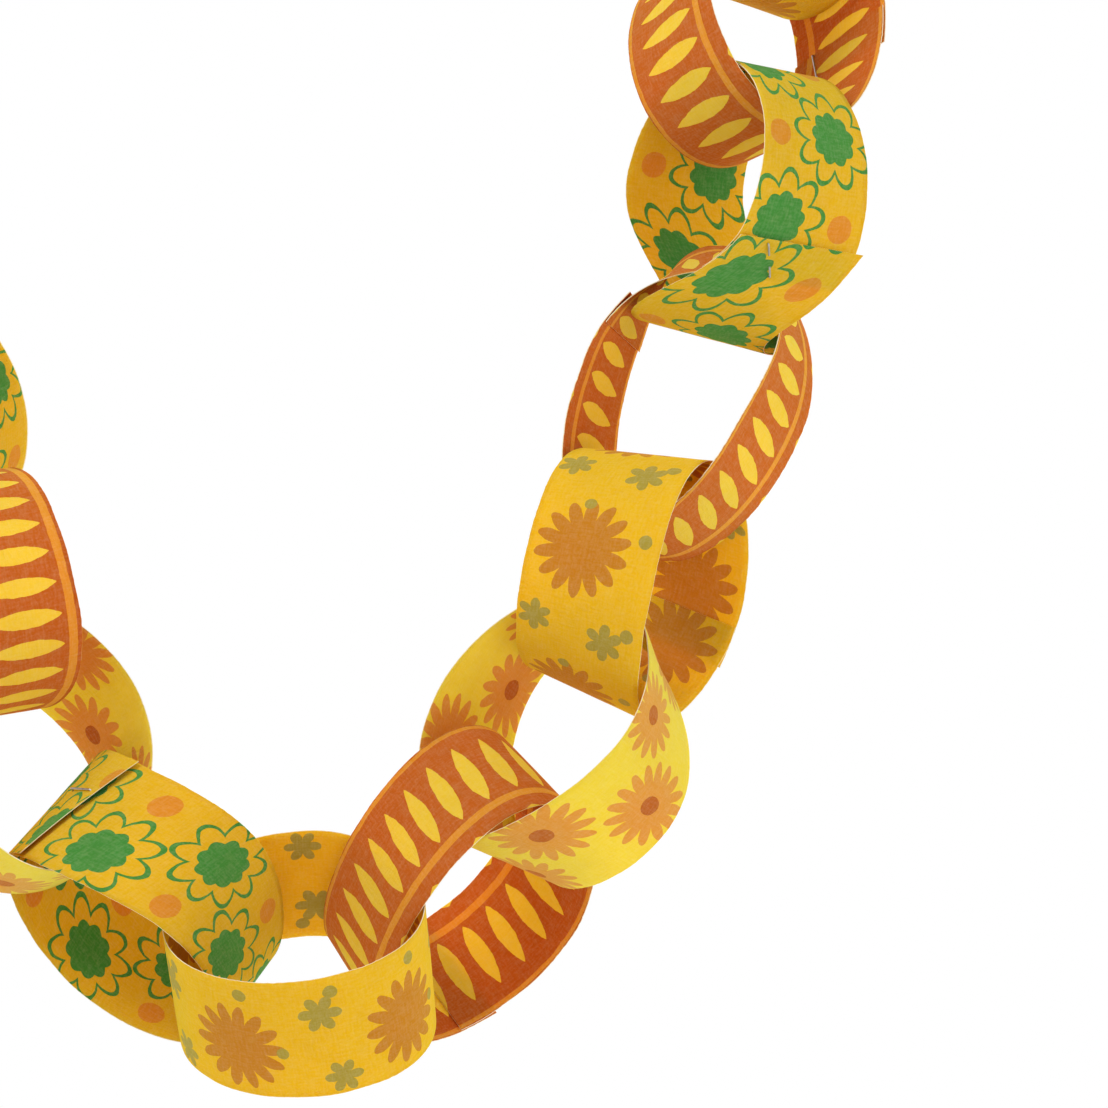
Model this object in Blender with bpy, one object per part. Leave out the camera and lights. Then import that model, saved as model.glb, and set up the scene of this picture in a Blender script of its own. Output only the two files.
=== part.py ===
"""A paper chain: twelve paper strips, each bent into a loop through the one before, three of them stapled.

Metres, +Z up. The chain hangs in the XZ plane and is seen along +Y, and the world origin is the inside of
the topmost loop, where a hook holds it. A strip is bent in its own frame: X is the long way of the loop,
Y the short way, and Z runs along the strip's width towards the viewer.
"""

import math
from dataclasses import dataclass

import bmesh
import bpy
import numpy as np
from mathutils import Matrix, Vector
from mathutils.bvhtree import BVHTree

MM = 0.001

# The paper strip, which every link is made from
STRIP_LENGTH = 210 * MM
STRIP_WIDTH = 35 * MM
PAPER_THICKNESS = 0.3 * MM
LAP_LENGTH = 10 * MM
LAP_GAP = 0.3 * MM
LAP_RISE_LENGTH = 16 * MM

# The staple, a bent wire
STAPLE_CROWN = 9 * MM
STAPLE_WIRE = 0.5 * MM
STAPLE_FOOT = 3 * MM
STAPLE_BEND = 0.5 * MM

# What keeps two pieces from touching
CLEARANCE = 0.3 * MM

# How finely a loop, and a staple's hole, is divided
SPANS_AROUND = 96
HOLE_SIDES = 8

# The places of the links are drawn in this unit, 1 mm here, so that they grow with the loop
LOOP_LENGTH = STRIP_LENGTH - LAP_LENGTH
PLACE_UNIT = LOOP_LENGTH / 200


@dataclass(frozen=True)
class Link:
    """One loop of the chain: where it hangs, how it is turned and how its paper is bent."""

    name: str
    paper: str
    centre: tuple  # in place units from the middle of the picture: right, away, up
    turn: float  # degrees that the loop's axis turns to the right of straight away
    tip: float  # degrees that the axis tips up
    roll: float  # degrees from level to the loop's long way, anticlockwise to the viewer
    narrow: float  # short way over long way
    taper: float = 0.0  # how much wider the end at +X is than the middle
    twist: float = 0.0  # degrees from the middle to the end at +X
    flare: float = 0.0  # degrees that the far edge leans outwards
    seam: float = 0.5  # where the strip's inner end lies, as a share of the loop from +X
    winding: int = 1  # 1 where the strip runs anticlockwise to the viewer from there
    curl: float = 0.0  # degrees of twist that only the end at +X has, growing as the square


@dataclass(frozen=True)
class Staple:
    """One staple through the middle of a link's lap."""

    name: str
    link: str
    across: float  # from the strip's middle towards the viewer, as a share of half its width
    slant: float  # degrees from the strip's length to the crown
    crown_outside: bool


LINKS = (
    Link("link_01_green", "green", (-168.4, 6.5, 31.9), -33, -14, 98, 0.87, 0.0, -1, 0.4, 0.25),
    Link("link_02_rust", "rust", (-151.2, -1.7, -10.7), 54, 6, 152, 0.93, 0.0, -10, 2.6, 0.06),
    Link("link_03_lemon", "lemon", (-136.5, 1.4, -49.7), -36.5, -20.3, 111, 0.86, 0.06, -17, -0.9, 0.15),
    Link("link_04_green", "green", (-102.0, 2.9, -88.5), 42, 39, 106.4, 0.83, 0.35, 19.3, 4.6, 0.99, -1),
    Link("link_05_gold", "gold", (-62.7, -6.3, -102.4), 7, -56.3, 76.5, 1.04, -0.11, -5, 1.0, 0.15),
    Link("link_06_rust", "rust", (-24.0, 13.8, -83.8), -39, 35.5, -8.4, 1.39, -0.18, -0.5, -3.5, 0.81),
    Link("link_07_lemon", "lemon", (2.8, 4.6, -46.1), 32.8, -23.7, 80.2, 0.83, -0.26, -23.8, -3.1, 0.97),
    Link("link_08_gold", "gold", (19.6, 8.2, -4.7), -66.9, 14.6, 141.4, 0.91, 0.05, -7.4, -5.0, 0.58, -1),
    Link("link_09_rust", "rust", (33.6, 9.6, 39.3), 25.5, -3.9, 64.6, 0.61, 0.08, -3.5, 4.3, 0.21, -1, -31),
    Link("link_10_green", "green", (48.4, 1.0, 89.6), 58, -5.9, -105.5, 0.82, 0.21, -14.5, -1.3, 0.19, 1, -44),
    Link("link_11_rust", "rust", (51.6, 14.9, 136.7), -38, -23.1, 56.1, 0.71, -0.10, 7.2, -4.7, 0.82, -1),
    Link("link_12_gold", "gold", (56.6, 32.5, 176.5), 53.2, -11.6, 88.1, 0.90, 0.0, 0, -0.1, 0.19),
)
STAPLES = (
    Staple("staple_04", "link_04_green", -0.26, -10, True),
    Staple("staple_10", "link_10_green", 0.29, 50, False),
    Staple("staple_11", "link_11_rust", -0.46, 20, False),
)
FIRST_PLACED = 6

PAPER_COLOURS = {
    "green": (0.72, 0.47, 0.02, 1.0),
    "rust": (0.48, 0.10, 0.02, 1.0),
    "lemon": (0.85, 0.72, 0.05, 1.0),
    "gold": (0.86, 0.52, 0.02, 1.0),
}


def clear_scene():
    for obj in list(bpy.data.objects):
        bpy.data.objects.remove(obj, do_unlink=True)


def make_material(name, colour, roughness, metallic):
    material = bpy.data.materials.new(name)
    material.use_nodes = True
    shader = material.node_tree.nodes["Principled BSDF"]
    shader.inputs["Base Color"].default_value = colour
    shader.inputs["Roughness"].default_value = roughness
    shader.inputs["Metallic"].default_value = metallic
    material.diffuse_color = colour
    return material


class Loop:
    """The closed middle line of a link, walked by arc length, and the paper on it."""

    STEPS = 720

    def __init__(self, link):
        self.link = link
        angle = np.linspace(0.0, 2.0 * math.pi, self.STEPS + 1)
        x = np.cos(angle)
        y = np.sin(angle) * link.narrow * (1.0 + link.taper * np.cos(angle))
        arc = np.concatenate([[0.0], np.cumsum(np.hypot(np.diff(x), np.diff(y)))])
        self.scale = LOOP_LENGTH / arc[-1]
        self.arc = arc * self.scale
        self.x = x * self.scale
        self.y = y * self.scale

    def middle(self, arc):
        """The point of the middle line at this arc length, and its outward normal."""
        step = PLACE_UNIT / 2.0
        before = arc - step
        after = arc + step
        x = np.interp(arc, self.arc, self.x, period=LOOP_LENGTH)
        y = np.interp(arc, self.arc, self.y, period=LOOP_LENGTH)
        along_x = np.interp(after, self.arc, self.x, period=LOOP_LENGTH)
        along_x -= np.interp(before, self.arc, self.x, period=LOOP_LENGTH)
        along_y = np.interp(after, self.arc, self.y, period=LOOP_LENGTH)
        along_y -= np.interp(before, self.arc, self.y, period=LOOP_LENGTH)
        length = math.hypot(along_x, along_y)
        return x, y, along_y / length, -along_x / length

    def point(self, along, across, out):
        """A point of the bent strip: along its length, across towards the viewer, out from its middle."""
        link = self.link
        arc = (link.seam * LOOP_LENGTH + link.winding * along) % LOOP_LENGTH
        x, y, out_x, out_y = self.middle(arc)
        flare = math.radians(link.flare)
        out = out - across * math.sin(flare)
        x += out * out_x
        y += out * out_y
        z = across * math.cos(flare)
        reach = x / self.scale
        twist = math.radians(link.twist) * reach + math.radians(link.curl) * max(reach, 0.0) ** 2
        return Vector((
            x,
            y * math.cos(twist) + z * math.sin(twist),
            z * math.cos(twist) - y * math.sin(twist),
        ))


def lap_rise(along):
    """How far the strip's outer end has climbed, so that it lies outside its inner end."""
    share = (along - (LOOP_LENGTH - LAP_RISE_LENGTH)) / LAP_RISE_LENGTH
    share = min(max(share, 0.0), 1.0)
    return (PAPER_THICKNESS + LAP_GAP) * share * share * (3.0 - 2.0 * share)


def stations():
    """Where the strip is divided along its length, at the same places in both layers of the lap."""
    step = LOOP_LENGTH / SPANS_AROUND
    ends = [0.0, LAP_LENGTH, LOOP_LENGTH, STRIP_LENGTH]
    inner = [step * count for count in range(1, math.ceil(STRIP_LENGTH / step))]
    inner = [along for along in inner if min(abs(along - end) for end in ends) > step / 4.0]
    return sorted(ends + inner)


def strip_mesh(link, grown=0.0):
    """The bent strip as one closed body, its wall and its edges grown outwards by the given margin.

    A twisted strip's faces aren't flat, so both walls are split along the same diagonal.
    """
    loop = Loop(link)
    half_width = STRIP_WIDTH / 2.0 + grown
    half_wall = PAPER_THICKNESS / 2.0 + grown
    mesh = bmesh.new()
    ring_before = None
    for along in stations():
        rise = lap_rise(along)
        corners = (
            (half_width, rise + half_wall),
            (-half_width, rise + half_wall),
            (-half_width, rise - half_wall),
            (half_width, rise - half_wall),
        )
        ring = [mesh.verts.new(loop.point(along, across, out)) for across, out in corners]
        if ring_before:
            for i, j in ((0, 1), (3, 2), (0, 3), (1, 2)):
                mesh.faces.new((ring_before[i], ring_before[j], ring[j]))
                mesh.faces.new((ring_before[i], ring[j], ring[i]))
        else:
            mesh.faces.new(ring)
        ring_before = ring
    mesh.faces.new(list(reversed(ring_before)))
    bmesh.ops.recalc_face_normals(mesh, faces=mesh.faces[:])
    return mesh


def link_turn(link):
    """The rotation from a link's own frame to the world's."""
    turn = math.radians(link.turn)
    tip = math.radians(link.tip)
    roll = math.radians(link.roll)
    right = Vector((math.cos(turn), -math.sin(turn), 0.0))
    up = Vector((-math.sin(turn) * math.sin(tip), -math.cos(turn) * math.sin(tip), math.cos(tip)))
    long_way = right * math.cos(roll) + up * math.sin(roll)
    short_way = up * math.cos(roll) - right * math.sin(roll)
    return Matrix((long_way, short_way, long_way.cross(short_way))).transposed().to_4x4()


def drawn_centre(link):
    return Vector(link.centre) * PLACE_UNIT


def tree_of(mesh, matrix):
    corners = [matrix @ vertex.co for vertex in mesh.verts]
    mesh.verts.index_update()
    faces = [[vertex.index for vertex in face.verts] for face in mesh.faces]
    return BVHTree.FromPolygons(corners, faces)


class Hanging:
    """Finds where each link hangs: as drawn, then moved in depth until it touches the link before it."""

    STEP = 0.5 * PLACE_UNIT
    REACH = 16 * PLACE_UNIT
    PULLS = (0, 1, -1, 2, -2, 3, -3, 4, -4, 6, -6)
    HALVINGS = 7
    AWAY = Vector((0.0, 1.0, 0.0))

    def __init__(self):
        self.places = {}
        self.bodies = {link.name: strip_mesh(link) for link in LINKS}
        self.grown = {link.name: strip_mesh(link, CLEARANCE) for link in LINKS}

    def clear(self, link, centre, wall):
        matrix = Matrix.Translation(centre) @ link_turn(link)
        return not tree_of(self.grown[link.name], matrix).overlap(wall)

    def touch(self, link, centre, wall):
        """The least move in depth that leaves the link just clear of the wall, or None."""
        free = self.clear(link, centre, wall)
        for count in range(1, round(self.REACH / self.STEP) + 1):
            for sign in (1.0, -1.0):
                here = self.AWAY * sign * self.STEP * count
                if self.clear(link, centre + here, wall) == free:
                    continue
                before = self.AWAY * sign * self.STEP * (count - 1)
                inside, outside = (here, before) if free else (before, here)
                for _ in range(self.HALVINGS):
                    middle = (inside + outside) / 2.0
                    if self.clear(link, centre + middle, wall):
                        outside = middle
                    else:
                        inside = middle
                return outside
        return Vector() if free else None

    def place(self, link, before):
        centre = drawn_centre(link)
        if before is None:
            self.places[link.name] = centre
            return
        centre += self.places[before.name] - drawn_centre(before)
        matrix = Matrix.Translation(self.places[before.name]) @ link_turn(before)
        wall = tree_of(self.bodies[before.name], matrix)
        pull = (centre - self.places[before.name]).normalized()
        for amount in self.PULLS:
            pulled = centre + pull * amount * PLACE_UNIT
            move = self.touch(link, pulled, wall)
            if move is not None:
                self.places[link.name] = pulled + move
                return
        self.places[link.name] = centre

    def settle(self):
        self.place(LINKS[FIRST_PLACED], None)
        for index in range(FIRST_PLACED + 1, len(LINKS)):
            self.place(LINKS[index], LINKS[index - 1])
        for index in range(FIRST_PLACED - 1, -1, -1):
            self.place(LINKS[index], LINKS[index + 1])
        return self.places


def hook_point(link, centre):
    """The top of a link's inside, where a hook holds it."""
    matrix = Matrix.Translation(centre) @ link_turn(link)
    loop = Loop(link)
    inside = -PAPER_THICKNESS / 2.0
    arcs = [LOOP_LENGTH * step / SPANS_AROUND for step in range(SPANS_AROUND)]
    return max((matrix @ loop.point(arc, 0.0, inside) for arc in arcs), key=lambda point: point.z)


def add_object(name, mesh, matrix, material):
    data = bpy.data.meshes.new(name)
    mesh.to_mesh(data)
    mesh.free()
    if material:
        data.materials.append(material)
    obj = bpy.data.objects.new(name, data)
    bpy.context.scene.collection.objects.link(obj)
    obj.matrix_world = matrix
    return obj


def staple_frame(staple, link):
    """Where the staple stands on the lap: X along its crown, Z out of the loop."""
    loop = Loop(link)
    step = PLACE_UNIT
    along = LOOP_LENGTH + LAP_LENGTH / 2.0
    across = staple.across * STRIP_WIDTH / 2.0
    middle_out = (PAPER_THICKNESS + LAP_GAP) / 2.0
    origin = loop.point(along, across, middle_out)
    along_strip = loop.point(along + step, across, middle_out) - loop.point(along - step, across, middle_out)
    across_strip = loop.point(along, across + step, middle_out) - loop.point(along, across - step, middle_out)
    along_strip.normalize()
    out = loop.point(along, across, middle_out + step) - origin
    out = (out - out.project(along_strip)).normalized()
    slant = math.radians(staple.slant)
    across_strip = (across_strip - across_strip.project(along_strip)).normalized()
    crown = along_strip * math.cos(slant) + across_strip * math.sin(slant)
    out = (out - out.project(crown)).normalized()
    if not staple.crown_outside:
        out = -out
    return Matrix.Translation(origin) @ Matrix((crown, out.cross(crown), out)).transposed().to_4x4()


def staple_height():
    """From the middle of the lap to the middle of the wire, over paper that curves away by a little."""
    radius = LOOP_LENGTH / (2.0 * math.pi)
    bulge = (STAPLE_CROWN / 2.0) ** 2 / (2.0 * radius)
    return PAPER_THICKNESS + LAP_GAP / 2.0 + CLEARANCE + STAPLE_WIRE / 2.0 + bulge


def staple_path():
    """The wire's middle line: a foot, a leg, the crown, a leg and a foot, with rounded bends."""
    half = STAPLE_CROWN / 2.0
    height = staple_height()
    corners = [
        Vector((-half + STAPLE_FOOT, 0.0, -height)),
        Vector((-half, 0.0, -height)),
        Vector((-half, 0.0, height)),
        Vector((half, 0.0, height)),
        Vector((half, 0.0, -height)),
        Vector((half - STAPLE_FOOT, 0.0, -height)),
    ]
    path = [corners[0]]
    for before, corner, after in zip(corners, corners[1:], corners[2:]):
        start = corner + (before - corner).normalized() * STAPLE_BEND
        end = corner + (after - corner).normalized() * STAPLE_BEND
        for share in (0.0, 1.0 / 3.0, 2.0 / 3.0, 1.0):
            first = start.lerp(corner, share)
            second = corner.lerp(end, share)
            path.append(first.lerp(second, share))
    path.append(corners[-1])
    return path


def add_staple(staple, link, matrix, material):
    curve = bpy.data.curves.new(staple.name, "CURVE")
    curve.dimensions = "3D"
    curve.bevel_depth = STAPLE_WIRE / 2.0
    curve.bevel_resolution = 1
    curve.use_fill_caps = True
    curve.materials.append(material)
    path = staple_path()
    spline = curve.splines.new("POLY")
    spline.points.add(len(path) - 1)
    for point, place in zip(spline.points, path):
        point.co = (*place, 1.0)
    obj = bpy.data.objects.new(staple.name, curve)
    bpy.context.scene.collection.objects.link(obj)
    obj.matrix_world = matrix @ staple_frame(staple, link)
    return obj


def cut_staple_holes(staple, link, matrix, paper):
    """Two round holes through both layers of the lap, wide enough for the staple's legs."""
    mesh = bmesh.new()
    for side in (-1.0, 1.0):
        bmesh.ops.create_cone(
            mesh,
            cap_ends=True,
            segments=HOLE_SIDES,
            radius1=STAPLE_WIRE / 2.0 + CLEARANCE,
            radius2=STAPLE_WIRE / 2.0 + CLEARANCE,
            depth=4.0 * staple_height(),
            matrix=Matrix.Translation((side * STAPLE_CROWN / 2.0, 0.0, 0.0)),
        )
    cutter = add_object(staple.name + "_holes", mesh, matrix @ staple_frame(staple, link), None)
    cutter.hide_render = True
    cutter.display_type = "WIRE"
    holes = paper.modifiers.new("staple holes", "BOOLEAN")
    holes.operation = "DIFFERENCE"
    holes.solver = "EXACT"
    holes.object = cutter


def main():
    clear_scene()
    papers = {
        paper: make_material("paper_" + paper, colour, 0.75, 0.0)
        for paper, colour in PAPER_COLOURS.items()
    }
    steel = make_material("staple_steel", (0.55, 0.55, 0.57, 1.0), 0.3, 1.0)
    hanging = Hanging()
    places = hanging.settle()
    hook = hook_point(LINKS[-1], places[LINKS[-1].name])
    matrices = {}
    objects = {}
    for link in LINKS:
        matrices[link.name] = Matrix.Translation(places[link.name] - hook) @ link_turn(link)
        body = hanging.bodies[link.name]
        objects[link.name] = add_object(link.name, body, matrices[link.name], papers[link.paper])
    for staple in STAPLES:
        link = next(link for link in LINKS if link.name == staple.link)
        add_staple(staple, link, matrices[link.name], steel)
        cut_staple_holes(staple, link, matrices[link.name], objects[link.name])


main()
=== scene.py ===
# %% [markdown]
# # A paper chain garland
# Printed paper strips are bent into loops, each through the one before it, and closed with glue or a staple.
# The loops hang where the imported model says, so this lesson starts by loading that model as a fixed frame.
# Each plain solid is then replaced by a finer strip, with its print, its pale cut edges and its slow waves.

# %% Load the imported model
import math
from dataclasses import dataclass

import bmesh
import bpy
from mathutils import Matrix, Vector, noise


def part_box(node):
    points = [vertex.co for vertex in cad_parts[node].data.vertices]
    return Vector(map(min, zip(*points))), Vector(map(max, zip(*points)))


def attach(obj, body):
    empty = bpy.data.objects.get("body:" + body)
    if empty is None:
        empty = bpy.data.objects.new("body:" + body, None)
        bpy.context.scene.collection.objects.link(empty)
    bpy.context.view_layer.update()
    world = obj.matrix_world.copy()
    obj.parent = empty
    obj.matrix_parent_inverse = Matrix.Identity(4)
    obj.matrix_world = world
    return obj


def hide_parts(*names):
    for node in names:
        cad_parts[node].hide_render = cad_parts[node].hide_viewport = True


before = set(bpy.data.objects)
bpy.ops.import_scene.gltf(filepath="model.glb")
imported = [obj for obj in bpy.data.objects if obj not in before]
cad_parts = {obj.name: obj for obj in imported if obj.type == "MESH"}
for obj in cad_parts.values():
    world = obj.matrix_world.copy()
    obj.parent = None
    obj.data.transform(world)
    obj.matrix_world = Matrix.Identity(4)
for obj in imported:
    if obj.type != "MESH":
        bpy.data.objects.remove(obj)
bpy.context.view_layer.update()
MM = 0.001
print("nodes:", len(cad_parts))

# %% [markdown]
# ## The paper strip
# Every link is the same strip of paper, 210 mm by 35 mm. A real one is 0.12 mm thick. It is made a little
# thicker here, so that its cut edge still shows as a pale line from a step away.

# %% The strip's sizes
STRIP_LENGTH = 210 * MM
STRIP_WIDTH = 35 * MM
LAP_LENGTH = 10 * MM
LAP_GAP = 0.3 * MM
LAP_RISE_LENGTH = 16 * MM
CAD_THICKNESS = 0.3 * MM
PAPER_THICKNESS = 0.22 * MM
LOOP_LENGTH = STRIP_LENGTH - LAP_LENGTH
HALF_WIDTH = STRIP_WIDTH / 2.0
SPANS_ALONG = 420
SPANS_ACROSS = 18
print("loop length in mm:", round(LOOP_LENGTH / MM))

# %% [markdown]
# ## Where each loop hangs and how it is bent
# A loop is an oval. It can be wider at one end (taper), turned along its length (twist), or lean outwards
# (flare). The places are in millimetres from the middle of the picture: right, away and up. The angles are
# in degrees. One row for each link keeps all that makes it different from its neighbours in one place.


# %% The links
@dataclass(frozen=True)
class Link:
    """One loop of the chain."""

    node: str
    paper: str
    centre: tuple
    turn: float
    tip: float
    roll: float
    narrow: float  # the oval's short way over its long way
    taper: float
    twist: float
    flare: float
    seam: float  # where the strip starts, as a share of the way round
    winding: int = 1  # 1 where the strip runs the way that the oval is walked, -1 the other way
    curl: float = 0.0  # more twist, towards the far end of the oval alone
    lift: float = 0.0  # mm that the strip's outer end stands off
    print_start: float = 0.0  # mm along the printed sheet where the strip was cut
    print_side: int = 1  # 1 where the printed sheet's upper edge is towards the viewer
    print_across: float = 0.0  # mm across the printed sheet where the strip was cut
    print_slope: float = 0.0  # how far the strip was cut askew, as a slope
    lean: tuple = (0.0, 0.0)  # how far the strip was closed askew: all round, and more at its ends
    ragged: float = 1.0  # how rough its cut edge is
    curled_corner: float = 0.0  # mm that the far corner of its outer end stands off


LINKS = (
    Link(
        "link_01_green", "green", (-168.4, 6.5, 31.9), -33, -14, 98, 0.87, 0.0, -1, 0.4, 0.25,
        print_start=7,
    ),
    Link(
        "link_02_rust", "rust", (-151.2, -1.7, -10.7), 54, 6, 152, 0.93, 0.0, -10, 2.6, 0.06,
        print_start=2, print_side=-1, print_across=-3.8, print_slope=0.12,
    ),
    Link(
        "link_03_lemon", "lemon", (-136.5, 1.4, -49.7), -36.5, -20.3, 111, 0.86, 0.06, -17, -0.9, 0.15,
        print_start=11,
    ),
    Link(
        "link_04_green", "green", (-102.0, 2.9, -88.5), 42, 39, 106.4, 0.83, 0.35, 19.3, 4.6, 0.99, -1,
        lift=1.0, print_start=20, lean=(-0.17, -0.17),
    ),
    Link(
        "link_05_gold", "gold", (-62.7, -6.3, -102.4), 7, -56.3, 76.5, 1.04, -0.11, -5, 1.0, 0.15,
        print_start=5,
    ),
    Link(
        "link_06_rust", "rust", (-24.0, 13.8, -83.8), -39, 35.5, -8.4, 1.39, -0.18, -0.5, -3.5, 0.81,
        lift=0.4, print_start=4,
    ),
    Link("link_07_lemon", "lemon", (2.8, 4.6, -46.1), 32.8, -23.7, 80.2, 0.83, -0.26, -23.8, -3.1, 0.97),
    Link(
        "link_08_gold", "gold", (19.6, 8.2, -4.7), -66.9, 14.6, 141.4, 0.91, 0.05, -7.4, -5.0, 0.58, -1,
        lift=0.4, print_start=13,
    ),
    Link(
        "link_09_rust", "rust", (33.6, 9.6, 39.3), 25.5, -3.9, 64.6, 0.61, 0.08, -3.5, 4.3, 0.21, -1, -31,
        lift=0.8, print_start=1, print_side=-1, lean=(-0.09, 0.28), ragged=2.6,
    ),
    Link(
        "link_10_green", "green", (48.4, 1.0, 89.6), 58, -5.9, -105.5, 0.82, 0.21, -14.5, -1.3, 0.19, 1, -44,
        lift=0.6, print_start=31, curled_corner=2.0,
    ),
    Link(
        "link_11_rust", "rust", (51.6, 14.9, 136.7), -38, -23.1, 56.1, 0.71, -0.10, 7.2, -4.7, 0.82, -1,
        lift=0.3, print_start=6,
    ),
    Link(
        "link_12_gold", "gold", (56.6, 32.5, 176.5), 53.2, -11.6, 88.1, 0.90, 0.0, 0, -0.1, 0.19,
        print_start=9,
    ),
)
print("links:", len(LINKS))

# %% [markdown]
# ## Bending a strip
# The oval has no simple formula for its arc length, so it is walked in small steps once, and any length
# along the strip is then looked up. Across the strip the point slides along the oval's axis.

# %% The bent strip
WALK_STEPS = 1440
SLOPE_REACH = 0.5 * MM


class Loop:
    """The closed middle line of a link, walked by arc length."""

    def __init__(self, link):
        self.link = link
        corners = []
        for step in range(WALK_STEPS + 1):
            angle = 2.0 * math.pi * step / WALK_STEPS
            x = math.cos(angle)
            y = math.sin(angle) * link.narrow * (1.0 + link.taper * math.cos(angle))
            corners.append((x, y))
        arcs = [0.0]
        for (ax, ay), (bx, by) in zip(corners, corners[1:]):
            arcs.append(arcs[-1] + math.hypot(bx - ax, by - ay))
        self.scale = LOOP_LENGTH / arcs[-1]
        self.table = []
        cursor = 0
        for step in range(WALK_STEPS):
            arc = arcs[-1] * step / WALK_STEPS
            while arcs[cursor + 1] < arc:
                cursor += 1
            share = (arc - arcs[cursor]) / (arcs[cursor + 1] - arcs[cursor])
            (ax, ay), (bx, by) = corners[cursor], corners[cursor + 1]
            self.table.append(((ax + (bx - ax) * share) * self.scale, (ay + (by - ay) * share) * self.scale))

    def place(self, arc):
        """The point of the oval at a length along it."""
        spot = (arc / LOOP_LENGTH % 1.0) * WALK_STEPS
        first = int(spot) % WALK_STEPS
        share = spot - int(spot)
        (ax, ay), (bx, by) = self.table[first], self.table[(first + 1) % WALK_STEPS]
        return ax + (bx - ax) * share, ay + (by - ay) * share

    def point(self, along, across, out):
        """A point of the strip: along its length, across towards the viewer, out from its middle."""
        link = self.link
        leaning = link.lean[0] + link.lean[1] * math.cos(2.0 * math.pi * along / LOOP_LENGTH)
        arc = link.seam * LOOP_LENGTH + link.winding * (along + leaning * across)
        x, y = self.place(arc)
        ahead_x, ahead_y = self.place(arc + SLOPE_REACH)
        back_x, back_y = self.place(arc - SLOPE_REACH)
        length = math.hypot(ahead_x - back_x, ahead_y - back_y)
        flare = math.radians(link.flare)
        out -= across * math.sin(flare)
        x += out * (ahead_y - back_y) / length
        y -= out * (ahead_x - back_x) / length
        z = across * math.cos(flare)
        reach = x / self.scale
        twist = math.radians(link.twist) * reach + math.radians(link.curl) * max(reach, 0.0) ** 2
        return Vector((
            x,
            y * math.cos(twist) + z * math.sin(twist),
            z * math.cos(twist) - y * math.sin(twist),
        ))


def lap_rise(along):
    """How far the outer end has climbed, so that it lies outside the inner end."""
    share = (along - (LOOP_LENGTH - LAP_RISE_LENGTH)) / LAP_RISE_LENGTH
    share = min(max(share, 0.0), 1.0)
    return (CAD_THICKNESS + LAP_GAP) * share * share * (3.0 - 2.0 * share)


def link_turn(link):
    """The rotation from a link's own frame to the world's."""
    turn, tip, roll = (math.radians(angle) for angle in (link.turn, link.tip, link.roll))
    right = Vector((math.cos(turn), -math.sin(turn), 0.0))
    up = Vector((-math.sin(turn) * math.sin(tip), -math.cos(turn) * math.sin(tip), math.cos(tip)))
    long_way = right * math.cos(roll) + up * math.sin(roll)
    short_way = up * math.cos(roll) - right * math.sin(roll)
    return Matrix((long_way, short_way, long_way.cross(short_way))).transposed().to_4x4()


print("steps round a loop:", WALK_STEPS)

# %% [markdown]
# ## Finding the places again
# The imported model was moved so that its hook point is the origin. Bending each strip round its own middle
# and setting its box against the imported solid's box tells where that solid hangs, whatever the move was.

# %% The hanging places
CAD_SPANS_ALONG = 105


def lowest_and_highest(points):
    low = Vector(min(point[axis] for point in points) for axis in range(3))
    high = Vector(max(point[axis] for point in points) for axis in range(3))
    return low, high


def hanging_centre(link):
    """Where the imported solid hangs, from its box against the box of the same strip round the origin."""
    loop = Loop(link)
    matrix = link_turn(link)
    corners = []
    for step in range(CAD_SPANS_ALONG + 1):
        along = STRIP_LENGTH * step / CAD_SPANS_ALONG
        for across in (-HALF_WIDTH, HALF_WIDTH):
            for out in (-CAD_THICKNESS / 2.0, CAD_THICKNESS / 2.0):
                corners.append(matrix @ loop.point(along, across, lap_rise(along) + out))
    low, high = lowest_and_highest(corners)
    node_low, node_high = (Vector(corner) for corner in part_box(link.node))
    return (node_low + node_high - low - high) / 2.0


CENTRES = {link.node: hanging_centre(link) for link in LINKS}
anchor = next(link for link in LINKS if link.node == "link_07_lemon")
PICTURE_MIDDLE = CENTRES[anchor.node] - Vector(anchor.centre) * MM
print("middle of the picture, in mm:", [round(value / MM, 1) for value in PICTURE_MIDDLE])

# %% [markdown]
# ## Making a strip's mesh
# A flat grid is given its wall with the solidify operator while it is still flat, because the print's map is
# simple there. Then every point is bent to its place. The edge is moved by a fraction of a millimetre, as
# scissors leave it, and the strip gets the slow waves of paper that was handled.

# %% Cut and waves
EDGE_SLOW_LENGTH = 9 * MM
EDGE_SLOW_HEIGHT = 0.22 * MM
EDGE_FAST_LENGTH = 1.3 * MM
EDGE_FAST_HEIGHT = 0.10 * MM
EDGE_REACH_POWER = 8
BROAD_WAVE = (38 * MM, 30 * MM)
BROAD_WAVE_HEIGHT = 0.30 * MM
SMALL_WAVE = (11 * MM, 12 * MM)
SMALL_WAVE_HEIGHT = 0.10 * MM


def edge_wander(along, side, seed):
    """How far the cut edge strays from straight."""
    slow = noise.noise(Vector((along / EDGE_SLOW_LENGTH, side * 7.0, seed)))
    fast = noise.noise(Vector((along / EDGE_FAST_LENGTH, side * 3.0, seed + 5.0)))
    return EDGE_SLOW_HEIGHT * slow + EDGE_FAST_HEIGHT * fast


def paper_wave(along, across, seed):
    """The slow waves of a handled strip."""
    broad = noise.noise(Vector((along / BROAD_WAVE[0], across / BROAD_WAVE[1], seed)))
    small = noise.noise(Vector((along / SMALL_WAVE[0], across / SMALL_WAVE[1], seed + 9.0)))
    return BROAD_WAVE_HEIGHT * broad + SMALL_WAVE_HEIGHT * small


print("widest stray of a cut edge, in mm:", round((EDGE_SLOW_HEIGHT + EDGE_FAST_HEIGHT) / MM, 2))

# %% The flat sheet and its bend
PRINT_MAP = "printed sheet"


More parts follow.
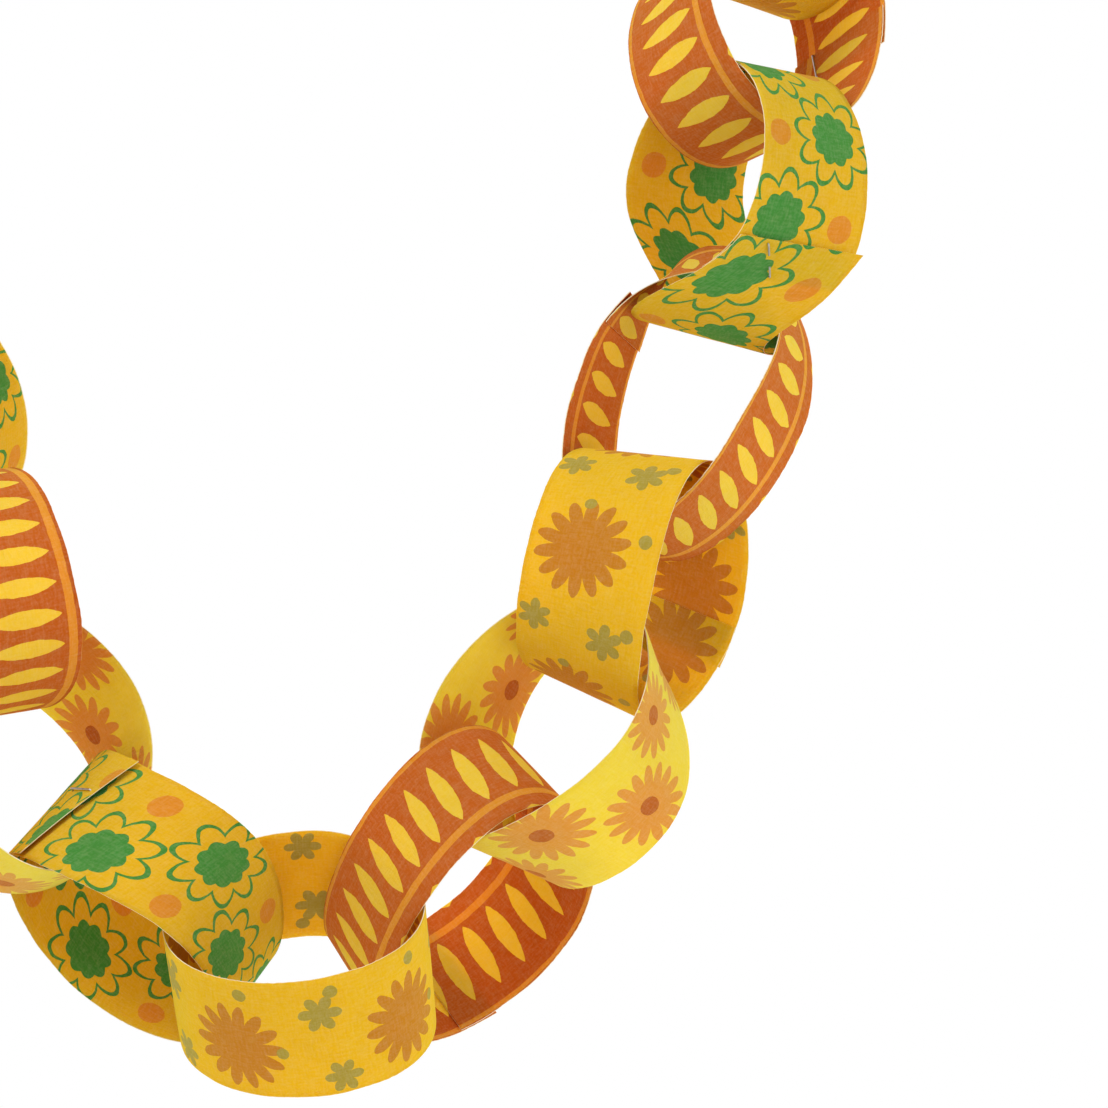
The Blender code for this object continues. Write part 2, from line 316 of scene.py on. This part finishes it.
def flat_sheet(link, seed):
    """A flat strip with a wall, its cut edge and the map of its print."""
    mesh = bmesh.new()
    bmesh.ops.create_grid(mesh, x_segments=SPANS_ALONG, y_segments=SPANS_ACROSS, size=0.5)
    for vertex in mesh.verts:
        along = (vertex.co.x + 0.5) * STRIP_LENGTH
        across = vertex.co.y * STRIP_WIDTH
        wander = edge_wander(along, math.copysign(1.0, across), seed) * link.ragged
        across += wander * abs(vertex.co.y * 2.0) ** EDGE_REACH_POWER
        vertex.co = (along, across, 0.0)
    bmesh.ops.solidify(mesh, geom=mesh.faces[:], thickness=PAPER_THICKNESS)
    middle = sum(vertex.co.z for vertex in mesh.verts) / len(mesh.verts)
    sheet_map = mesh.loops.layers.uv.new(PRINT_MAP)
    for face in mesh.faces:
        cut_edge = abs(face.normal.z) < 0.5
        face.smooth = not cut_edge
        face.material_index = 1 if cut_edge else 0
        outer_wall = face.calc_center_median().z > middle
        side = link.print_side if outer_wall else -link.print_side
        for corner in face.loops:
            flat = corner.vert.co
            corner[sheet_map].uv = (flat.x / STRIP_LENGTH, side * flat.y / STRIP_LENGTH + 0.5)
    return mesh, middle


def strip_object(link, seed):
    """A link's strip, bent to its place in the world."""
    mesh, middle = flat_sheet(link, seed)
    loop = Loop(link)
    matrix = Matrix.Translation(CENTRES[link.node]) @ link_turn(link)
    for vertex in mesh.verts:
        along, across, wall = vertex.co
        end = max(0.0, (along - LOOP_LENGTH) / LAP_LENGTH)
        far_side = max(0.0, -across / HALF_WIDTH)
        start = min(1.0, along / LAP_RISE_LENGTH)
        rise = lap_rise(along)
        rise += (link.lift + link.curled_corner * far_side ** 3) * MM * end * end
        rise += paper_wave(along, across, seed) * start * (1.0 - end)
        vertex.co = matrix @ loop.point(along, across, rise + wall - middle)
    bmesh.ops.recalc_face_normals(mesh, faces=mesh.faces[:])
    data = bpy.data.meshes.new(link.node + "_strip")
    mesh.to_mesh(data)
    mesh.free()
    strip = bpy.data.objects.new(link.node + "_strip", data)
    bpy.context.scene.collection.objects.link(strip)
    return strip


print("grid of a strip:", SPANS_ALONG, "by", SPANS_ACROSS)

# %% [markdown]
# ## Finishes
# A print is a few fields of flat ink. Each motif is a distance that is compared with a radius, so it is a sum
# of Math nodes. One small class lets those sums be written as plain expressions.


# %% Shader maths
class Wire:
    """A socket that can be added, multiplied and compared."""

    def __init__(self, finish, socket):
        self.finish = finish
        self.socket = socket

    def maths(self, operation, *others):
        return self.finish.add("ShaderNodeMath", {"operation": operation}, self, *others)

    def __add__(self, other):
        return self.maths("ADD", other)

    __radd__ = __add__

    def __sub__(self, other):
        return self.maths("SUBTRACT", other)

    def __rsub__(self, other):
        return self.finish.add("ShaderNodeMath", {"operation": "SUBTRACT"}, other, self)

    def __mul__(self, other):
        return self.maths("MULTIPLY", other)

    __rmul__ = __mul__

    def __truediv__(self, other):
        return self.maths("DIVIDE", other)

    def __abs__(self):
        return self.maths("ABSOLUTE")

    def __pow__(self, power):
        return self.maths("POWER", power)

    def cos(self):
        return self.maths("COSINE")

    def root(self):
        return self.maths("SQRT")

    def over(self, other):
        """1 where this is greater."""
        return self.maths("GREATER_THAN", other)

    def either(self, other):
        return self.maths("MAXIMUM", other)

    def both(self, other):
        return self.maths("MINIMUM", other)

    def within(self, pitch):
        """Repeats with this pitch, from minus half of it to half."""
        return (self / pitch).maths("FRACT") * pitch - pitch / 2.0


class Finish:
    """One material, and the nodes that make its colour."""

    def __init__(self, name, roughness, metallic=0.0):
        self.material = bpy.data.materials.new(name)
        self.material.use_nodes = True
        self.tree = self.material.node_tree
        self.shader = self.tree.nodes["Principled BSDF"]
        self.shader.inputs["Roughness"].default_value = roughness
        self.shader.inputs["Metallic"].default_value = metallic

    def add(self, kind, settings, *values, output=0, **named):
        """Adds a node, with its settings first, then the values or links of its sockets."""
        node = self.tree.nodes.new(kind)
        for key, value in settings.items():
            setattr(node, key, value)
        for index, value in enumerate(values):
            self.join(node.inputs[index], value)
        for key, value in named.items():
            self.join(node.inputs[key], value)
        return Wire(self, node.outputs[output])

    def join(self, socket, value):
        if isinstance(value, Wire):
            self.tree.links.new(value.socket, socket)
        else:
            socket.default_value = value

    def blend(self, factor, below, above):
        """The colour below where the factor is 0, and the one above where it is 1."""
        node = self.tree.nodes.new("ShaderNodeMix")
        node.data_type = "RGBA"
        factor_socket, below_socket, above_socket = node.inputs[0], node.inputs[6], node.inputs[7]
        self.join(factor_socket, factor)
        self.join(below_socket, below)
        self.join(above_socket, above)
        colour_output = 2
        return Wire(self, node.outputs[colour_output])

    def noise(self, place, scale, detail=2.0, output=0):
        return self.add("ShaderNodeTexNoise", {}, output=output, Vector=place, Scale=scale, Detail=detail)

    def stretched(self, place, scales):
        """A place scaled by a different amount each way."""
        return self.add("ShaderNodeVectorMath", {"operation": "MULTIPLY"}, place, scales)

    def object_place(self):
        """The place on the object, in metres."""
        object_output = 3
        return self.add("ShaderNodeTexCoord", {}, output=object_output)


def shown(red, green, blue):
    """A colour as a shader's linear values, from the 0 to 255 values that a screen shows."""
    linear = []
    for value in (red, green, blue):
        share = value / 255.0
        linear.append(share / 12.92 if share <= 0.04045 else ((share + 0.055) / 1.055) ** 2.4)
    return (*linear, 1.0)


print("white as linear values:", shown(255, 255, 255))

# %% [markdown]
# ## The printed paper
# The paper is soft and matt, and lets some light through, so a loop's inside glows where its outside is lit.
# A little subsurface scattering gives that glow. The strip's own flat map, in millimetres, carries the print,
# so it bends with the strip. The print's edges wander a little, as ink does on soft paper.

# %% Sheet and motifs
PAPER_ROUGHNESS = 0.5
GLOW_WEIGHT = 0.8
GLOW_REACH = 0.5 * MM
GLOW_TINT = (1.0, 0.95, 0.5)
BLEED_SCALE = 0.3
BLEED_REACH = (0.7, 0.7, 0.0)  # mm
FIBRE_SCALE = 1.7
THREADS_ALONG = (0.3, 1.5, 1.0)
THREADS_ACROSS = (1.5, 0.3, 1.0)
GRAIN_HEIGHT = 0.5 * MM
STAIN_SCALE = 0.11
FIBRE_COLOUR = shown(255, 246, 205)
STAIN_COLOUR = shown(120, 66, 8)


class Sheet(Finish):
    """A printed paper: ink over a coloured ground, soft fibres and a matt face."""

    def __init__(self, name, link):
        super().__init__(name, PAPER_ROUGHNESS)
        self.shader.inputs["Specular IOR Level"].default_value = 0.0
        self.shader.inputs["Subsurface Weight"].default_value = GLOW_WEIGHT
        self.shader.inputs["Subsurface Radius"].default_value = GLOW_TINT
        self.shader.inputs["Subsurface Scale"].default_value = GLOW_REACH
        sheet = self.add("ShaderNodeUVMap", {"uv_map": PRINT_MAP})
        self.flat = self.add("ShaderNodeVectorMath", {"operation": "SCALE"}, sheet, Scale=STRIP_LENGTH / MM)
        colour_output = 1
        bleed = self.noise(self.flat, BLEED_SCALE, 3.0, output=colour_output)
        shift = self.add("ShaderNodeVectorMath", {"operation": "SUBTRACT"}, bleed, (0.5, 0.5, 0.5))
        strayed = self.add(
            "ShaderNodeVectorMath", {"operation": "MULTIPLY_ADD"}, shift, BLEED_REACH, self.flat
        )
        parts = self.tree.nodes.new("ShaderNodeSeparateXYZ")
        self.join(parts.inputs[0], strayed)
        self.across = Wire(self, parts.outputs[1]) - (STRIP_LENGTH / MM / 2.0 - link.print_across)
        self.along = Wire(self, parts.outputs[0]) + link.print_start + self.across * link.print_slope

    def from_middle(self, pitch, start, across):
        """The offsets from the nearest motif's middle, and the distance, in a row with this pitch."""
        x = (self.along + start).within(pitch)
        y = self.across - across
        return x, y, (x * x + y * y).root()

    def blossom(self, pitch, start, across, petals, radius, reach, sharp=1.0):
        """How far inside a petalled outline a point is, in mm."""
        x, y, distance = self.from_middle(pitch, start, across)
        angle = self.add("ShaderNodeMath", {"operation": "ARCTAN2"}, y, x)
        wave = abs((angle * (petals / 2.0)).cos())
        if sharp != 1.0:
            wave = wave ** sharp
        return radius + wave * reach - distance

    def dot(self, pitch, start, across, radius):
        """How far inside a round spot a point is, in mm."""
        return radius - self.from_middle(pitch, start, across)[2]

    def finish(self, ink):
        """Fibres over the ink, as colour and as relief, and a few broad stains."""
        fibres = self.noise(self.flat, FIBRE_SCALE, 3.0)
        threads = self.noise(self.stretched(self.flat, THREADS_ALONG), 1.0)
        crossing = self.noise(self.stretched(self.flat, THREADS_ACROSS), 1.0)
        cloth = (fibres + threads + crossing) / 3.0
        pale = self.blend((cloth - 0.44) * 3.0, ink, self.blend(0.15, ink, FIBRE_COLOUR))
        stain = (self.noise(self.flat, STAIN_SCALE, 4.0) - 0.42) * 1.6
        worn = self.blend(stain, pale, self.blend(0.10, pale, STAIN_COLOUR))
        self.join(self.shader.inputs["Base Color"], worn)
        bump = self.add("ShaderNodeBump", {}, Strength=1.0, Distance=GRAIN_HEIGHT, Height=cloth)
        self.join(self.shader.inputs["Normal"], bump)
        return self.material


print("the light reaches into the paper, in mm:", GLOW_REACH / MM)

# %% [markdown]
# ## The rust paper
# It has a plain traditional row of pointed ovals between two lines. An oval's half width follows the square
# of the way to its tip, which makes the tips sharp with no picture. All the numbers are in millimetres.

# %% Ovals and lines
RUST_GROUND = shown(196, 102, 34)
RUST_LINES = shown(224, 152, 50)
RUST_OVALS = shown(242, 200, 62)
OVAL_PITCH = 8.0
OVAL_HALF_LENGTH = 10.4
OVAL_HALF_WIDTH = 2.3
OVAL_MIDDLE = -1.3
OVAL_SLOPE = 0.05
OVAL_FULLNESS = 0.85
OVAL_SWELL = 0.12
UPPER_LINE = 11.4
UPPER_LINE_HALF_WIDTH = 1.15
LOWER_LINE = (-17.2, -15.9)
TICK_FOOT = 16.4
TICK_SLOPE = 0.6
TICK_START = 3.0


def rust_paper(name, link):
    """A row of pointed ovals that lies a little off the strip's middle, between two lines."""
    sheet = Sheet(name, link)
    leaning = sheet.along - sheet.across * OVAL_SLOPE
    reach = (sheet.across - OVAL_MIDDLE) / OVAL_HALF_LENGTH
    inside = (1.0 - reach * reach).either(0.0)
    outline = OVAL_HALF_WIDTH * inside ** OVAL_FULLNESS * (1.0 + reach * OVAL_SWELL)
    oval = (outline - abs(leaning.within(OVAL_PITCH))).over(0.0)
    upper_line = (UPPER_LINE_HALF_WIDTH - abs(sheet.across - UPPER_LINE)).over(0.0)
    lower_line = (LOWER_LINE[1] - sheet.across).over(0.0).both((sheet.across - LOWER_LINE[0]).over(0.0))
    beside_tick = abs((sheet.along + TICK_START).within(OVAL_PITCH * 2.0))
    ticks = (sheet.across - TICK_FOOT - beside_tick * TICK_SLOPE).over(0.0)
    ink = sheet.blend(upper_line.either(lower_line), RUST_GROUND, RUST_LINES)
    ink = sheet.blend(oval.either(ticks), ink, RUST_OVALS)
    return sheet.finish(ink)


print("ovals on a strip:", int(STRIP_LENGTH / MM / OVAL_PITCH))

# %% [markdown]
# ## The green, gold and lemon papers
# The other three carry simple blossoms and dots in rows. A row is a pitch, a start along the strip and a
# place across it, in millimetres, so a few numbers fill the whole strip.

# %% Blossoms and dots
GREEN_GROUND = shown(222, 180, 36)
GREEN_INK = shown(76, 146, 66)
GREEN_SPOTS = shown(216, 146, 44)
GREEN_PITCH = 46.0
GREEN_ROWS = ((0.0, -6.5), (23.0, 8.0))
GREEN_PETALS = 9
RING_HALF_WIDTH = 0.68
SPOT_ROWS = ((23.0, -10.5), (0.5, 12.0))
SPOT_RADIUS = 3.6
GOLD_GROUND = shown(236, 186, 34)
GOLD_DAISIES = shown(200, 134, 40)
GOLD_SMALL = shown(176, 156, 66)
GOLD_PITCH = 46.0
LEMON_GROUND = shown(240, 210, 66)
LEMON_DAISIES = shown(222, 156, 66)
LEMON_HEARTS = shown(188, 104, 40)
LEMON_PITCH = 42.0
LEMON_ROWS = ((0.0, -7.0), (21.0, 8.5))
PETAL_SHARPNESS = 0.8


def green_paper(name, link):
    """Outlined blossoms with a solid heart in two rows, and orange spots between them."""
    sheet = Sheet(name, link)
    ink = GREEN_GROUND
    for start, across in GREEN_ROWS:
        outline = sheet.blossom(GREEN_PITCH, start, across, GREEN_PETALS, radius=8.8, reach=4.2)
        ring = (RING_HALF_WIDTH - abs(outline)).over(0.0)
        heart = sheet.blossom(GREEN_PITCH, start, across, GREEN_PETALS, radius=6.2, reach=1.2).over(0.0)
        ink = sheet.blend(ring.either(heart), ink, GREEN_INK)
    first, second = (sheet.dot(GREEN_PITCH, start, across, SPOT_RADIUS) for start, across in SPOT_ROWS)
    return sheet.finish(sheet.blend(first.either(second).over(0.0), ink, GREEN_SPOTS))


def gold_paper(name, link):
    """Large brown daisies, with small grey ones and dots between them."""
    sheet = Sheet(name, link)
    daisy = sheet.blossom(GOLD_PITCH, 0.0, -3.0, 14, 7.4, 5.4, PETAL_SHARPNESS).over(0.0)
    ink = sheet.blend(daisy, GOLD_GROUND, GOLD_DAISIES)
    small = sheet.blossom(GOLD_PITCH, 23.0, 7.0, 6, 2.4, 3.0, PETAL_SHARPNESS)
    small = small.either(sheet.blossom(GOLD_PITCH, 20.0, -12.5, 6, 2.2, 2.6, PETAL_SHARPNESS))
    dots = sheet.dot(GOLD_PITCH / 2.0, 8.0, 13.0, 1.8).either(sheet.dot(GOLD_PITCH, 34.0, -4.0, 1.6))
    return sheet.finish(sheet.blend(small.either(dots).over(0.0), ink, GOLD_SMALL))


def lemon_paper(name, link):
    """Tan daisies with a darker heart, in two rows."""
    sheet = Sheet(name, link)
    ink = LEMON_GROUND
    for start, across in LEMON_ROWS:
        daisy = sheet.blossom(LEMON_PITCH, start, across, 15, 6.8, 5.6, PETAL_SHARPNESS).over(0.0)
        heart = sheet.dot(LEMON_PITCH, start, across, 2.8).over(0.0)
        ink = sheet.blend(daisy, ink, LEMON_DAISIES)
        ink = sheet.blend(heart, ink, LEMON_HEARTS)
    return sheet.finish(ink)


PAPERS = {"green": green_paper, "rust": rust_paper, "lemon": lemon_paper, "gold": gold_paper}
print("papers:", len(PAPERS))

# %% [markdown]
# ## The cut edge and the staples
# A cut shows the paper's pale pulp, so the edge faces have a material of their own. The staples are bright
# round wire with a fine drawn grain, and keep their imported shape.

# %% Pulp edge and staple wire
PULP_GRAIN_SCALE = 1500.0
WIRE_GRAIN_SCALE = 900.0

pulp = Finish("cut_paper_edge", 0.9)
pulp_grain = pulp.noise(pulp.object_place(), PULP_GRAIN_SCALE)
pulp_colour = pulp.blend(pulp_grain, shown(238, 214, 150), shown(255, 246, 222))
pulp.join(pulp.shader.inputs["Base Color"], pulp_colour)

steel = Finish("staple_wire", 0.3, 1.0)
steel_grain = steel.noise(steel.object_place(), WIRE_GRAIN_SCALE)
steel_colour = steel.blend(steel_grain, shown(150, 150, 152), shown(200, 200, 204))
steel.join(steel.shader.inputs["Base Color"], steel_colour)
steel.join(steel.shader.inputs["Roughness"], steel_grain * 0.2 + 0.22)
print("plain finishes:", pulp.material.name, steel.material.name)

# %% [markdown]
# ## Hanging the links
# Each fine strip takes the place of its plain solid and rides on the one body that the chain is. The noise
# seed of a strip is its number, so no two strips wave alike.

# %% Make and hang every strip
SEED_STEP = 10.0
for number, link in enumerate(LINKS, start=1):
    strip = strip_object(link, SEED_STEP * number)
    strip.data.materials.append(PAPERS[link.paper](f"{link.paper}_paper_{number:02d}", link))
    strip.data.materials.append(pulp.material)
    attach(strip, "root")
    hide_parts(link.node)
    print(strip.name, "faces:", len(strip.data.polygons))

for name in ("staple_04", "staple_10", "staple_11"):
    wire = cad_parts[name]
    wire.data.materials.clear()
    wire.data.materials.append(steel.material)

# %% [markdown]
# ## Light, floor and camera
# The photograph is bright and soft, on white. Large lamps and a plain world give that light. The white behind
# the garland is only what the camera, a gloss or a clear piece sees, so it doesn't wash out the colours.

# %% World
SOFT_LIGHT = 0.52
BACKDROP_WHITE = 1.0
world = bpy.data.worlds.new("studio")
bpy.context.scene.world = world
world.use_nodes = True
sky = world.node_tree
sky.nodes.clear()


def greater(first, second):
    node = sky.nodes.new("ShaderNodeMath")
    node.operation = "MAXIMUM"
    sky.links.new(first, node.inputs[0])
    sky.links.new(second, node.inputs[1])
    return node.outputs[0]


def white_background(strength):
    node = sky.nodes.new("ShaderNodeBackground")
    node.inputs["Color"].default_value = (1.0, 1.0, 1.0, 1.0)
    node.inputs["Strength"].default_value = strength
    return node.outputs[0]


path = sky.nodes.new("ShaderNodeLightPath")
bounced = greater(path.outputs["Is Glossy Ray"], path.outputs["Is Transmission Ray"])
choose = sky.nodes.new("ShaderNodeMixShader")
sky.links.new(greater(path.outputs["Is Camera Ray"], bounced), choose.inputs[0])
sky.links.new(white_background(SOFT_LIGHT), choose.inputs[1])
sky.links.new(white_background(BACKDROP_WHITE), choose.inputs[2])
out = sky.nodes.new("ShaderNodeOutputWorld")
sky.links.new(choose.outputs[0], out.inputs[0])
print("world light:", SOFT_LIGHT)


# %% Lamps
def lamp(name, place, size, power):
    """A square lamp at a place from the picture's middle, in metres, that shines at that middle."""
    data = bpy.data.lights.new(name, "AREA")
    data.size = size
    data.energy = power
    light = bpy.data.objects.new(name, data)
    light.location = PICTURE_MIDDLE + Vector(place)
    light.rotation_euler = (-Vector(place)).to_track_quat("-Z", "Y").to_euler()
    bpy.context.scene.collection.objects.link(light)
    print(name, "watts:", power)


lamp("key_lamp", (-0.5, -0.6, 0.65), size=0.5, power=4.4)
lamp("fill_lamp", (1.0, -0.8, 0.1), size=1.0, power=5.0)
lamp("back_lamp", (0.2, 1.2, 0.4), size=1.2, power=18.0)

# %% Floor
FLOOR_DROP = 0.40
FLOOR_HALF = 1.4
floor_mesh = bmesh.new()
bmesh.ops.create_grid(floor_mesh, x_segments=1, y_segments=1, size=FLOOR_HALF)
floor_data = bpy.data.meshes.new("floor")
floor_mesh.to_mesh(floor_data)
floor_mesh.free()
floor = bpy.data.objects.new("floor", floor_data)
floor.location = PICTURE_MIDDLE - Vector((0.0, 0.0, FLOOR_DROP))
bpy.context.scene.collection.objects.link(floor)
chalk = Finish("pale_floor", 0.9)
chalk.join(chalk.shader.inputs["Base Color"], (0.86, 0.86, 0.85, 1.0))
floor.data.materials.append(chalk.material)
print("floor below the picture's middle, in m:", FLOOR_DROP)

# %% Camera
CAMERA_DISTANCE = 1.2
PICTURE_HALF = 138.5 * MM
SENSOR_WIDTH = 36.0
camera_data = bpy.data.cameras.new("camera")
camera_data.sensor_width = SENSOR_WIDTH
camera_data.lens = SENSOR_WIDTH / 2.0 * CAMERA_DISTANCE / PICTURE_HALF
camera = bpy.data.objects.new("camera", camera_data)
camera.location = PICTURE_MIDDLE - Vector((0.0, CAMERA_DISTANCE, 0.0))
camera.rotation_euler = (math.radians(90.0), 0.0, 0.0)
bpy.context.scene.collection.objects.link(camera)
bpy.context.scene.camera = camera
bpy.context.scene.view_settings.view_transform = "Standard"
print("camera lens in mm:", round(camera_data.lens, 1))
